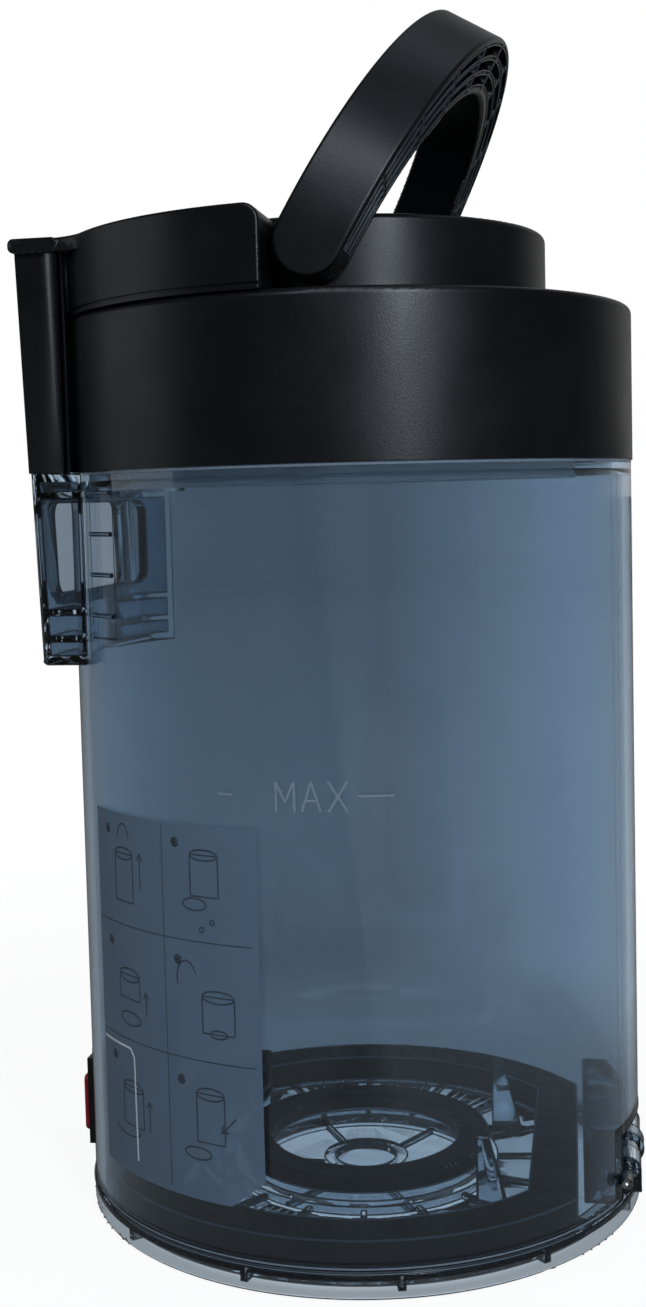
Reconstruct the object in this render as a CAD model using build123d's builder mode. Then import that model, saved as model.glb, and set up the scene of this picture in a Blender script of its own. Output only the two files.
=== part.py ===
"""Clear cyclone dust bin with a folding handle, a hinged bottom lid and a push latch.

Millimetres. The origin is on the bin's axis in the plane that the lid stands on, +Z is up, +X points
to the lid's hinge and -X to the dock face with the inlet and outlet ports.
"""
import os
from math import cos, radians, sin, sqrt, tan

from build123d import *

os.makedirs("parts", exist_ok=True)

# Clearances
running_gap = 0.08
seat_gap = 0.3
film_gap = 0.03

# Bin shell
bin_radius = 74.6
bin_wall = 2.4
neck_inset = 2.5
neck_wall = 2.2
neck_top = 203.0
neck_height = 6.5
neck_step = 2.4

# Collar
collar_wall = 2.6
collar_height = 39.5
collar_plate = 2.6
collar_edge = 2.0
collar_seal_height = 2.5
collar_rib_height = 2.5

# Hub cover
hub_inset = 22.0
hub_foot = 5.0
hub_wall = 2.6
hub_height = 19.5
hub_edge = 1.8
spigot_depth = 6.0
spigot_wall = 2.4

# Handle
handle_headroom = 2.9
handle_thickness = 15.2
handle_leg = 1.9
handle_tilt = 30.0
handle_edge = 1.0
handle_outer_wall = 1.9
handle_inner_wall = 2.8
handle_rib = 1.0
handle_floor = 3.2
handle_channels = 3
handle_spokes = 9
pivot_x = 2.0
pivot_pin_radius = 3.0
pivot_pin_reach = 7.0
pivot_boss_radius = 6.5
pivot_head_radius = 4.6
pivot_head_height = 2.0

# Dock housing
dock_share = 8 / 15
dock_draft = 1.8
dock_standoff = 3.5
dock_end_gap = 1.6
dock_end_round = 4.0
dock_edge = 0.8
dock_flare_angle = 52.0
dock_lip_reach = 1.2
dock_lip_height = 3.6
dock_lip_depth = 13.0
dock_lip_round = 1.5
dock_groove_rise = 1.0
dock_groove = 0.7
dock_rib_depth = 5.5
dock_rib_inset = 0.6
dock_rib_width = 1.1
dock_rib_gap = 1.2
dock_side_depth = 9.0
outlet_width = 48.0
outlet_sill = 3.0
outlet_header = 2.4
port_round = 4.0

# Inlet duct
duct_height = 49.0
duct_wall = 2.2
duct_edge = 2.0
duct_shelf_rise = (5.7, 12.5, 42.5)
duct_shelf = 1.6
inlet_width = 56.0
inlet_height = 24.0
inlet_sill = 3.4
gasket_width = 3.2
gasket_height = 1.5

# Filter stack under the hub
carrier_gap = 9.9
carrier_wall = 2.2
carrier_drop = 4.0
carrier_edge = 1.6
carrier_brim = 20.0
carrier_vents = 8
carrier_vent_width = 14.0
carrier_vent_height = 3.0
screen_overlap = 6.0
screen_thickness = 0.8
screen_hole_radius = 2.4
screen_hole_pitch = 7.0
screen_rows = 7
foam_height = 14.0
frame_wall = 2.4
frame_headroom = 2.5
pleat_pitch = 6.0
pleat_paper = 0.9
screw_count = 4
screw_first = 45.0
screw_radius = 1.4
screw_head_radius = 2.3
screw_head_height = 1.8
screw_grip = 2.0

# Pockets in the bin wall for the hinge and the latch
pocket_depth = 14.6
pocket_wall = 2.0
hinge_half_width = 25.0
hinge_pocket_top = 24.0
latch_half_width = 20.0
latch_pocket_top = 40.0

# Bottom lid
lid_overhang = 0.4
lid_rim_height = 6.5
lid_rim_wall = 2.2
lid_rim_flat = 0.3
lid_rim_width = 7.0
lid_channel_wall = 2.0
lid_rim_ribs = 12
lid_rim_rib_first = 15.0
lid_rim_rib = 1.5
lid_floor_bottom = 2.2
lid_floor = 2.4
plug_gap = 2.7
plug_flat_gap = 3.2
plug_wall = 2.0
plug_width = 7.0
plug_top = 11.3
plug_ribs = 12
plug_rib = 1.6
seal_top = 2.2
seal_skirt = 1.3
seal_flange = 3.6
seal_flange_height = 0.5
ring_wall_outer = 33.0
ring_wall = 2.5
ring_wall_top = 9.6
ring_step_width = 3.5
ring_step_top = 6.8
gasket_overhang = 1.3
gasket_ring = 8.4
gasket_top = 13.7
boss_radius = 11.5
boss_top = 6.0
boss_rim = 3.0
boss_dish_depth = 1.6
boss_spokes = 6
floor_ribs = 16
floor_rib = 1.2
floor_rib_height = 1.2
fin_gap = 6.5
fin_y = 30.0
fin_length = 8.0
fin_crest = 3.0
fin_top = 24.0
fin_thickness = 1.6

# Lid hinge
hinge_rise = 5.0
hinge_pin_radius = 1.5
knuckle_radius = 3.5
knuckle_inner = 6.0
knuckle_outer = 18.0
ear_radius = 4.5
hinge_ear_half = 3.0

# Latch
latch_pin_inset = 4.6
latch_pin_rise = 15.0
latch_pin_radius = 1.5
lever_half_width = 8.0
lever_gap = 0.4
lever_plate = 2.2
lever_foot = 13.5
lever_head = 11.0
lever_lug_radius = 3.5
nose_gap = 0.25
nose_height = 3.0
catch_half_width = 6.0
catch_wall = 3.0
catch_barb = 2.2
catch_barb_height = 2.5
latch_ear = 2.4
button_foot = 10.5
button_head = 5.5
button_half_width = 6.5
button_height = 1.8
button_edge = 0.8
spring_rise = 5.0
spring_leaf = 7.0
spring_fall = 3.5
spring_strip = 0.5
spring_half_width = 3.0

# Label film
label_first = -143.5
label_last = -99.7
label_bottom = 20.5
label_top = 112.0
label_thickness = 0.25
label_cut_width = 9.0
label_cut_height = 7.0

# Worked-out places: bin, collar and hub
bin_inner = bin_radius - bin_wall
bin_bottom = lid_rim_height + seal_flange_height
neck_radius = bin_radius - neck_inset
neck_inner = neck_radius - neck_wall
collar_inner = neck_radius + seat_gap
collar_radius = collar_inner + collar_wall
collar_bottom = neck_top - neck_height
collar_top = collar_bottom + collar_height
plate_under = collar_top - collar_plate
collar_seal_top = neck_top + collar_seal_height
collar_rib_top = collar_seal_top + collar_rib_height
hub_radius = collar_radius - hub_inset
collar_mouth_radius = hub_radius - hub_foot
cover_top = collar_top + hub_height
spigot_radius = collar_mouth_radius - seat_gap

# Worked-out places: handle, dock face and ports
handle_width = hub_height - handle_headroom
handle_inner_radius = hub_radius + 2 * seat_gap
handle_outer_radius = handle_inner_radius + handle_thickness
pivot_z = cover_top - handle_width / 2
dock_half_width = collar_radius * dock_share
dock_rear = collar_radius + dock_standoff
dock_end_x = pivot_x - handle_width / 2 - dock_end_gap
slope = tan(radians(dock_draft))
outlet_height = plate_under - collar_rib_top - outlet_sill - outlet_header
outlet_centre_z = collar_rib_top + outlet_sill + outlet_height / 2
duct_bottom = collar_bottom - duct_height
duct_shelf_z = [duct_bottom + rise for rise in duct_shelf_rise]
inlet_centre_z = duct_shelf_z[1] + duct_shelf + inlet_sill + inlet_height / 2
port_reach = collar_radius / 3

# Worked-out places: filter stack
carrier_radius = neck_inner - carrier_gap
carrier_bottom = collar_bottom - carrier_drop
carrier_window_radius = carrier_radius - carrier_brim
screen_radius = carrier_window_radius + screen_overlap
screen_bottom = carrier_bottom + carrier_wall
foam_bottom = screen_bottom + screen_thickness
frame_bottom = foam_bottom + foam_height
frame_height = collar_top - spigot_depth - frame_headroom - frame_bottom
stack_radius = carrier_radius - carrier_wall - seat_gap

# Worked-out places: lid, hinge and latch
pocket_inner_x = bin_radius - pocket_depth
lid_radius = bin_radius + lid_overhang
lid_edge = lid_rim_wall - lid_rim_flat
lid_rim_inner = lid_radius - lid_rim_width
lid_channel_inner = lid_rim_inner + lid_channel_wall
lid_floor_top = lid_floor_bottom + lid_floor
plug_radius = bin_inner - plug_gap
plug_flat = pocket_inner_x - plug_flat_gap
plug_inner_radius = plug_radius - plug_width
plug_inner_flat = plug_flat - plug_width
ring_step_radius = ring_wall_outer + ring_step_width
gasket_outer = ring_wall_outer + gasket_overhang
gasket_inner = gasket_outer - gasket_ring
fin_x = plug_inner_flat - plug_wall - fin_gap - fin_length
hinge_x = lid_radius - knuckle_radius
hinge_z = bin_bottom + hinge_rise
hinge_pin_half = hinge_half_width + pocket_wall
latch_pin_x = bin_radius - latch_pin_inset
latch_pin_z = bin_bottom + latch_pin_rise
latch_pin_half = lever_half_width + seat_gap + latch_ear
lever_plate_inner = lid_radius + lever_gap
lever_plate_outer = lever_plate_inner + lever_plate
lever_bottom = latch_pin_z - lever_foot
lever_top = latch_pin_z + lever_head
catch_outer = lid_rim_inner
catch_inner = catch_outer - catch_wall
catch_reach = catch_outer + catch_barb
nose_reach = catch_reach + nose_gap
nose_bottom = lever_bottom + nose_gap + seat_gap
nose_top = nose_bottom + nose_height
catch_ledge = nose_top + seat_gap
catch_top = catch_ledge + catch_barb_height
button_bottom = latch_pin_z - button_foot
button_top = latch_pin_z + button_head
spring_bottom = latch_pin_z + spring_rise
spring_top = spring_bottom + spring_leaf
spring_tip_z = spring_top - spring_fall


def rear_x(z):
    """Place of the drafted dock face at a height."""
    return -(dock_rear - (cover_top - z) * slope)


def dock_plane(z):
    """Plane on the dock face, facing out, with its own Y up the slope."""
    tilt = radians(dock_draft)
    return Plane(origin=(rear_x(z), 0, z), x_dir=(0, -1, 0), z_dir=(-cos(tilt), 0, -sin(tilt)))


def flatted(radius, flat, z):
    """A circle cut by a flat on each side along X."""
    with BuildSketch(Plane.XY.offset(z)) as outline:
        Circle(radius)
        Rectangle(2 * flat, 2 * radius, mode=Mode.INTERSECT)
    return outline.sketch


def ring_of_revolution(points):
    """Face of a closed outline of radius and height, on the plane through the axis."""
    with BuildSketch(Plane.XZ) as outline:
        with BuildLine():
            Polyline(*points, close=True)
        make_face()
    return outline.sketch


def save(piece, node):
    """Label a finished piece and write its file."""
    piece.part.label = node
    export_step(piece.part, f"parts/{node}.step")


# Bin shell: duct box first, then the round wall, its bore, the two pockets and their ears
shell_outline = [
    (bin_inner, bin_bottom),
    (bin_radius, bin_bottom),
    (bin_radius, collar_bottom),
    (neck_radius, collar_bottom),
    (neck_radius, neck_top),
    (neck_inner, neck_top),
    (neck_inner, collar_bottom - neck_step),
    (bin_inner, collar_bottom - 2 * neck_step),
]
duct_root = sqrt(neck_inner**2 - dock_half_width**2)
duct_floors = [duct_bottom, *duct_shelf_z]
duct_ceilings = [*duct_shelf_z, collar_bottom]


def pocket(side, half_width):
    """Outline of a pocket's box inside the bin's round wall."""
    with BuildSketch(Plane.XY.offset(bin_bottom)) as outline:
        Circle(bin_radius)
        box_length = bin_radius
        with Locations((side * (pocket_inner_x + box_length / 2), 0)):
            Rectangle(box_length, 2 * (half_width + pocket_wall), mode=Mode.INTERSECT)
    return outline.sketch


def pocket_room(side, half_width):
    """Outline of the open room in a pocket."""
    with BuildSketch(Plane.XY.offset(bin_bottom)) as outline:
        room_length = bin_radius
        with Locations((side * (pocket_inner_x + pocket_wall + room_length / 2), 0)):
            Rectangle(room_length, 2 * half_width)
    return outline.sketch


def ear(side, pin_x, pin_z, y):
    """Outline of a round-nosed ear from the pocket's back wall to a pin, on a plane across Y."""
    with BuildSketch(Plane.XZ.offset(-y)) as outline:
        root_x = pocket_inner_x + pocket_wall / 2
        with Locations((side * (root_x + pin_x) / 2, pin_z)):
            Rectangle(pin_x - root_x, 2 * ear_radius)
        with Locations((side * pin_x, pin_z)):
            Circle(ear_radius)
    return outline.sketch


with BuildPart() as bin_shell:
    with BuildSketch(Plane.XZ) as duct_side:
        with BuildLine():
            Polyline(
                (rear_x(duct_bottom), duct_bottom),
                (rear_x(collar_bottom), collar_bottom),
                (-duct_root, collar_bottom),
                (-duct_root, duct_bottom),
                close=True,
            )
        make_face()
    extrude(amount=dock_half_width, both=True)
    fillet(bin_shell.faces().sort_by(Axis.X)[0].edges().sort_by(Axis.Z)[:-1], duct_edge)
    for floor_z, ceiling_z in zip(duct_floors, duct_ceilings):
        low_z = floor_z + (duct_wall if floor_z == duct_bottom else duct_shelf)
        high_z = ceiling_z - (duct_wall if ceiling_z == collar_bottom else 0)
        with BuildSketch(Plane.XZ) as duct_room:
            with BuildLine():
                Polyline(
                    (rear_x(low_z) + duct_wall, low_z),
                    (rear_x(high_z) + duct_wall, high_z),
                    (0, high_z),
                    (0, low_z),
                    close=True,
                )
            make_face()
        extrude(amount=dock_half_width - duct_wall, both=True, mode=Mode.SUBTRACT)
    revolve(ring_of_revolution(shell_outline), axis=Axis.Z)
    with BuildSketch(Plane.XY.offset(bin_bottom)) as bore:
        Circle(bin_inner)
    extrude(amount=collar_bottom - 2 * neck_step - bin_bottom, mode=Mode.SUBTRACT)
    with BuildSketch(Plane.XY.offset(bin_bottom)) as neck_bore:
        Circle(neck_inner)
    extrude(amount=neck_top - bin_bottom, mode=Mode.SUBTRACT)
    with BuildSketch(dock_plane(inlet_centre_z)) as inlet:
        RectangleRounded(inlet_width, inlet_height, port_round)
    extrude(amount=-port_reach, mode=Mode.SUBTRACT)
    extrude(pocket(1, hinge_half_width), amount=hinge_pocket_top + pocket_wall - bin_bottom)
    extrude(pocket(-1, latch_half_width), amount=latch_pocket_top + pocket_wall - bin_bottom)
    extrude(pocket_room(1, hinge_half_width), amount=hinge_pocket_top - bin_bottom, mode=Mode.SUBTRACT)
    extrude(pocket_room(-1, latch_half_width), amount=latch_pocket_top - bin_bottom, mode=Mode.SUBTRACT)
    extrude(ear(1, hinge_x, hinge_z, 0), amount=hinge_ear_half, both=True)
    latch_ear_y = lever_half_width + seat_gap + latch_ear / 2
    for y in (-latch_ear_y, latch_ear_y):
        extrude(ear(-1, latch_pin_x, latch_pin_z, y), amount=latch_ear / 2, both=True)
    with BuildSketch(Plane.XZ) as hinge_hole:
        with Locations((hinge_x, hinge_z)):
            Circle(hinge_pin_radius + running_gap)
    extrude(amount=hinge_pin_half, both=True, mode=Mode.SUBTRACT)
    with BuildSketch(Plane.XZ) as latch_hole:
        with Locations((-latch_pin_x, latch_pin_z)):
            Circle(latch_pin_radius + running_gap)
    extrude(amount=latch_pin_half, both=True, mode=Mode.SUBTRACT)
save(bin_shell, "bin_shell")

# Collar: cap over the neck, with an inner rib on the seal, a mouth for the hub and an outlet window
collar_outline = [
    (collar_radius, collar_bottom),
    (collar_radius, collar_top),
    (collar_mouth_radius, collar_top),
    (collar_mouth_radius, plate_under),
    (collar_inner, plate_under),
    (collar_inner, collar_rib_top),
    (neck_inner, collar_rib_top),
    (neck_inner, collar_seal_top),
    (collar_inner, collar_seal_top),
    (collar_inner, collar_bottom),
]
screw_circle = (collar_mouth_radius + hub_radius) / 2

with BuildPart() as collar:
    revolve(ring_of_revolution(collar_outline), axis=Axis.Z)
    rim = collar.edges().filter_by(GeomType.CIRCLE).group_by(Axis.Z)[-1].sort_by(SortBy.RADIUS)[-1]
    fillet(rim, collar_edge)
    with BuildSketch(dock_plane(outlet_centre_z)) as outlet_window:
        RectangleRounded(outlet_width, outlet_height, port_round)
    extrude(amount=-port_reach, mode=Mode.SUBTRACT)
    with BuildSketch(Plane.XY.offset(plate_under)) as screw_holes:
        with PolarLocations(screw_circle, screw_count, start_angle=screw_first):
            Circle(screw_radius + running_gap)
    extrude(amount=collar_plate, mode=Mode.SUBTRACT)
save(collar, "collar")

with BuildPart() as collar_seal:
    with BuildSketch(Plane.XY.offset(neck_top)) as seal_ring:
        Circle(neck_radius)
        Circle(neck_inner, mode=Mode.SUBTRACT)
    extrude(amount=collar_seal_height)
save(collar_seal, "collar_seal")

# Hub cover: round cap with a foot on the collar, a spigot in its mouth and two pivot bosses
foot_top = collar_top + hub_wall
hub_outline = [
    (0, cover_top),
    (hub_radius, cover_top),
    (hub_radius, collar_top),
    (spigot_radius, collar_top),
    (spigot_radius, collar_top - spigot_depth),
    (spigot_radius - spigot_wall, collar_top - spigot_depth),
    (spigot_radius - spigot_wall, foot_top),
    (hub_radius - hub_wall, foot_top),
    (hub_radius - hub_wall, cover_top - hub_wall),
    (0, cover_top - hub_wall),
]
boss_face = (hub_radius + handle_inner_radius) / 2
boss_root = hub_radius - hub_wall - pivot_boss_radius

with BuildPart() as hub_cover:
    revolve(ring_of_revolution(hub_outline), axis=Axis.Z)
    crown = hub_cover.edges().filter_by(GeomType.CIRCLE).group_by(Axis.Z)[-1].sort_by(SortBy.RADIUS)[-1]
    fillet(crown, hub_edge)
    for side in (-1, 1):
        with BuildSketch(Plane.XZ.offset(-side * boss_root)) as pivot_boss:
            with Locations((pivot_x, pivot_z)):
                Circle(pivot_boss_radius)
        extrude(amount=-side * (boss_face - boss_root))
        with BuildSketch(Plane.XZ.offset(-side * boss_root)) as pivot_hole:
            with Locations((pivot_x, pivot_z)):
                Circle(pivot_pin_radius + running_gap)
        extrude(amount=-side * (boss_face - boss_root), mode=Mode.SUBTRACT)
    with BuildSketch(Plane.XY.offset(collar_top)) as screw_bores:
        with PolarLocations(screw_circle, screw_count, start_angle=screw_first):
            Circle(screw_radius + running_gap)
    extrude(amount=screw_grip + running_gap, mode=Mode.SUBTRACT)
save(hub_cover, "hub_cover")

with BuildPart() as cover_screws:
    with PolarLocations(screw_circle, screw_count, start_angle=screw_first):
        with Locations((0, 0, plate_under - screw_head_height / 2)):
            Cylinder(screw_head_radius, screw_head_height)
        with Locations((0, 0, plate_under + (collar_plate + screw_grip) / 2)):
            Cylinder(screw_radius, collar_plate + screw_grip)
save(cover_screws, "cover_screws")

# Dock housing: block around the hub under a top plate that flares out to a flat flange with lip and ribs
block_inner = hub_radius + seat_gap
flare = radians(dock_flare_angle)
flare_radius = (collar_radius * cos(flare) - dock_half_width) / (1 - cos(flare))
flare_start = (-collar_radius * sin(flare), collar_radius * cos(flare))
flare_centre = Vector(-sin(flare), cos(flare)) * (collar_radius + flare_radius)
flare_middle = flare_centre + Vector(sin(flare / 2), -cos(flare / 2)) * flare_radius
flare_end = (flare_centre.X, dock_half_width)
end_outer_y = sqrt(collar_radius**2 - dock_end_x**2)
end_inner_y = sqrt(block_inner**2 - dock_end_x**2)
block_middle = radians(135)
lip_half_width = dock_half_width + dock_lip_reach
flange_clear = collar_radius + seat_gap
side_x = rear_x(collar_bottom) + dock_side_depth

plate_bottom = cover_top - dock_lip_height

with BuildPart() as dock_housing:
    with BuildSketch(Plane.XY.offset(collar_top)) as block_plan:
        with BuildLine():
            Line((dock_end_x, end_inner_y), (dock_end_x, end_outer_y))
            RadiusArc((dock_end_x, end_outer_y), flare_start, -collar_radius)
            ThreePointArc(flare_start, flare_middle, flare_end)
            Line(flare_end, (rear_x(cover_top), dock_half_width))
            Line((rear_x(cover_top), dock_half_width), (rear_x(cover_top), 0))
            Line((rear_x(cover_top), 0), (-block_inner, 0))
            ThreePointArc(
                (-block_inner, 0),
                (block_inner * cos(block_middle), block_inner * sin(block_middle)),
                (dock_end_x, end_inner_y),
            )
        make_face()
        mirror(about=Plane.XZ)
    extrude(amount=cover_top - collar_top)
    end_edges = dock_housing.edges().filter_by(Axis.Y).group_by(Axis.X)[-1]
    fillet(end_edges.group_by(Axis.Z)[-1], dock_end_round)
    fillet(dock_housing.faces().sort_by(Axis.Z)[-1].edges().filter_by(Axis.Y, reverse=True), dock_edge)
    with BuildSketch(Plane.XY.offset(collar_top)) as under_plate:
        Circle(2 * collar_radius)
        Circle(collar_radius, mode=Mode.SUBTRACT)
    extrude(amount=plate_bottom - collar_top, mode=Mode.SUBTRACT)
    with BuildSketch(Plane.XY.offset(collar_top + dock_groove_rise)) as shadow_groove:
        Circle(collar_radius)
        Circle(collar_radius - dock_groove, mode=Mode.SUBTRACT)
    extrude(amount=dock_groove, mode=Mode.SUBTRACT)
    with BuildSketch(Plane.XZ) as flange_side:
        with BuildLine():
            Polyline(
                (rear_x(collar_bottom), collar_bottom),
                (rear_x(cover_top), cover_top),
                (side_x, cover_top),
                (side_x, collar_bottom),
                close=True,
            )
        make_face()
    extrude(amount=dock_half_width, both=True)
    with BuildSketch(Plane.XZ) as behind_face:
        with BuildLine():
            Polyline(
                (rear_x(collar_bottom), collar_bottom),
                (rear_x(cover_top), cover_top),
                (-2 * dock_rear, cover_top),
                (-2 * dock_rear, collar_bottom),
                close=True,
            )
        make_face()
    extrude(amount=2 * dock_half_width, both=True, mode=Mode.SUBTRACT)
    for side in (-1, 1):
        rib_y = side * (dock_half_width - dock_rib_inset - dock_rib_depth / 2)
        with BuildSketch(Plane.XY.offset(collar_bottom)) as side_rib:
            with Locations((side_x + dock_rib_gap, rib_y)):
                Rectangle(dock_rib_width, dock_rib_depth)
            with Locations((side_x + dock_rib_gap / 2, rib_y - side * dock_rib_depth / 2)):
                Rectangle(dock_rib_gap + dock_rib_width, dock_rib_width)
        extrude(amount=plate_bottom - collar_bottom)
    with BuildSketch(Plane.XY.offset(collar_bottom)) as collar_room:
        Circle(flange_clear)
    extrude(amount=collar_top - collar_bottom, mode=Mode.SUBTRACT)
    with BuildSketch(Plane.XZ) as lip_section:
        with Locations((rear_x(cover_top) - dock_lip_reach + dock_lip_depth / 2, cover_top - dock_lip_height / 2)):
            RectangleRounded(dock_lip_depth, dock_lip_height, dock_lip_round)
    extrude(amount=lip_half_width, both=True)
    with BuildSketch(dock_plane(outlet_centre_z)) as outlet:
        RectangleRounded(outlet_width, outlet_height, port_round)
    extrude(amount=-dock_side_depth, mode=Mode.SUBTRACT)
save(dock_housing, "dock_housing")


def port_gasket(width, height, z):
    """Outline of a rubber frame round a port, on the dock face."""
    with BuildSketch(dock_plane(z)) as outline:
        RectangleRounded(width + 2 * gasket_width, height + 2 * gasket_width, port_round + gasket_width)
        RectangleRounded(width, height, port_round, mode=Mode.SUBTRACT)
    return outline.sketch


with BuildPart() as outlet_gasket:
    extrude(port_gasket(outlet_width, outlet_height, outlet_centre_z), amount=gasket_height)
save(outlet_gasket, "outlet_gasket")

with BuildPart() as inlet_gasket:
    extrude(port_gasket(inlet_width, inlet_height, inlet_centre_z), amount=gasket_height)
save(inlet_gasket, "inlet_gasket")

# Filter stack: cup under the collar's plate with a mesh window, foam, framed pleats and vents above
carrier_outline = [
    (carrier_window_radius, carrier_bottom),
    (carrier_radius, carrier_bottom),
    (carrier_radius, plate_under),
    (carrier_radius - carrier_wall, plate_under),
    (carrier_radius - carrier_wall, carrier_bottom + carrier_wall),
    (carrier_window_radius, carrier_bottom + carrier_wall),
]

with BuildPart() as filter_carrier:
    revolve(ring_of_revolution(carrier_outline), axis=Axis.Z)
    brim = filter_carrier.edges().filter_by(GeomType.CIRCLE).group_by(Axis.Z)[0].sort_by(SortBy.RADIUS)[-1]
    fillet(brim, carrier_edge)
    with BuildSketch(Plane.XY.offset(plate_under - carrier_vent_height)) as vents:
        with PolarLocations(carrier_radius - carrier_wall / 2, carrier_vents):
            Rectangle(3 * carrier_wall, carrier_vent_width)
    extrude(amount=carrier_vent_height, mode=Mode.SUBTRACT)
save(filter_carrier, "filter_carrier")

with BuildPart() as mesh_screen:
    with BuildSketch(Plane.XY.offset(screen_bottom)) as screen:
        Circle(screen_radius)
        with HexLocations(screen_hole_pitch / 2, screen_rows, screen_rows):
            Circle(screen_hole_radius, mode=Mode.SUBTRACT)
    extrude(amount=screen_thickness)
save(mesh_screen, "mesh_screen")

with BuildPart() as foam_filter:
    with BuildSketch(Plane.XY.offset(foam_bottom)) as foam:
        Circle(stack_radius)
    extrude(amount=foam_height)
save(foam_filter, "foam_filter")

with BuildPart() as filter_frame:
    with BuildSketch(Plane.XY.offset(frame_bottom)) as frame_ring:
        Circle(stack_radius)
        Circle(stack_radius - frame_wall, mode=Mode.SUBTRACT)
    extrude(amount=frame_height)
save(filter_frame, "filter_frame")

pleat_radius = stack_radius - frame_wall - seat_gap
pleat_count = int(2 * pleat_radius / pleat_pitch)
pleat_first = -pleat_count * pleat_pitch / 2
pleat_low = frame_bottom
pleat_high = frame_bottom + frame_height - pleat_paper
fold_low = [
    (pleat_first + step * pleat_pitch / 2, pleat_low if step % 2 == 0 else pleat_high)
    for step in range(2 * pleat_count + 1)
]
fold_high = [(x, z + pleat_paper) for x, z in reversed(fold_low)]

with BuildPart() as pleated_filter:
    extrude(ring_of_revolution(fold_low + fold_high), amount=pleat_radius, both=True)
    with BuildSketch(Plane.XY.offset(frame_bottom)) as pleat_disc:
        Circle(pleat_radius)
    extrude(amount=frame_height, mode=Mode.INTERSECT)
save(pleated_filter, "pleated_filter")

# Handle: half ring with two round-ended legs, cored from below into ribbed channels
tilt = radians(handle_tilt)
handle_plane = Plane(
    origin=(pivot_x, 0, pivot_z),
    x_dir=(0, 1, 0),
    z_dir=(cos(tilt), 0, -sin(tilt)),
)
leg_direction = handle_plane.y_dir
leg_middle = handle_inner_radius + handle_thickness / 2
bail_centre = handle_plane.origin + leg_direction * handle_leg
channel_room = handle_thickness - handle_outer_wall - handle_inner_wall
channel_width = (channel_room - (handle_channels - 1) * handle_rib) / handle_channels
pin_bore_depth = pivot_pin_reach + seat_gap
leg_end_middle = (pivot_x - sin(tilt) * handle_width / 2, pivot_z - cos(tilt) * handle_width / 2)

with BuildPart() as handle:
    for side in (-1, 1):
        with BuildSketch(Plane.XZ.offset(-side * handle_inner_radius)) as leg_end:
            with Locations((pivot_x, pivot_z)):
                Circle(handle_width / 2)
            with Locations(leg_end_middle):
                Rectangle(2 * handle_width, handle_width, rotation=-handle_tilt, mode=Mode.INTERSECT)
        extrude(amount=-side * handle_thickness)
    fillet(handle.edges().filter_by(GeomType.CIRCLE), handle_edge)
    with BuildSketch(Plane(handle_plane.origin, x_dir=(0, 1, 0), z_dir=leg_direction)) as leg_section:
        with Locations((leg_middle, 0), (-leg_middle, 0)):
            RectangleRounded(handle_thickness, handle_width, handle_edge)
    extrude(amount=handle_leg)
    with BuildSketch(Plane(bail_centre, x_dir=(0, 1, 0), z_dir=leg_direction)) as bail_section:
        with Locations((leg_middle, 0)):
            RectangleRounded(handle_thickness, handle_width, handle_edge)
    revolve(axis=Axis(bail_centre, handle_plane.z_dir), revolution_arc=180)
    with BuildSketch(handle_plane.offset(handle_width / 2)) as channels:
        for channel in reversed(range(handle_channels)):
            channel_inner = handle_inner_radius + handle_inner_wall + channel * (channel_width + handle_rib)
            with Locations((0, handle_leg)):
                Circle(channel_inner + channel_width)
                Circle(channel_inner, mode=Mode.SUBTRACT)
        with Locations((0, handle_leg)):
            with PolarLocations(leg_middle, handle_spokes + 2, 0, 180):
                Rectangle(handle_thickness, handle_rib, mode=Mode.SUBTRACT)
        with Locations((0, handle_leg - handle_outer_radius)):
            Rectangle(3 * handle_outer_radius, 2 * handle_outer_radius, mode=Mode.SUBTRACT)
    extrude(amount=-(handle_width - handle_floor), mode=Mode.SUBTRACT)
    for side in (-1, 1):
        with BuildSketch(Plane.XZ.offset(-side * handle_inner_radius)) as pin_bore:
            with Locations((pivot_x, pivot_z)):
                Circle(pivot_pin_radius + running_gap)
        extrude(amount=-side * pin_bore_depth, mode=Mode.SUBTRACT)
save(handle, "handle")


def pivot_pin(side):
    """A headed pivot pin from inside the hub's boss into the handle's leg."""
    with BuildPart() as pin:
        with BuildSketch(Plane.XZ.offset(-side * boss_root)) as shank:
            with Locations((pivot_x, pivot_z)):
                Circle(pivot_pin_radius)
        extrude(amount=-side * (handle_inner_radius + pivot_pin_reach - boss_root))
        with BuildSketch(Plane.XZ.offset(-side * boss_root)) as head:
            with Locations((pivot_x, pivot_z)):
                Circle(pivot_head_radius)
        extrude(amount=side * pivot_head_height)
    return pin


save(pivot_pin(-1), "handle_pin_near")
save(pivot_pin(1), "handle_pin_far")

# Bottom lid: hollow rim, floor, flatted double wall, centre pan, boss, ribs, fins, knuckles, catch
rim_outline = [
    (lid_rim_inner, lid_floor_bottom),
    (lid_rim_inner, lid_rim_height),
    (lid_radius, lid_rim_height),
    (lid_radius, 0),
    (lid_radius - lid_rim_wall, 0),
    (lid_radius - lid_rim_wall, lid_floor_top),
    (lid_channel_inner, lid_floor_top),
    (lid_channel_inner, lid_floor_bottom),
]
plug_height = plug_top - lid_floor_top
rib_outer = plug_radius - plug_wall / 2
knuckle_half = (knuckle_outer - knuckle_inner) / 2

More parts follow.
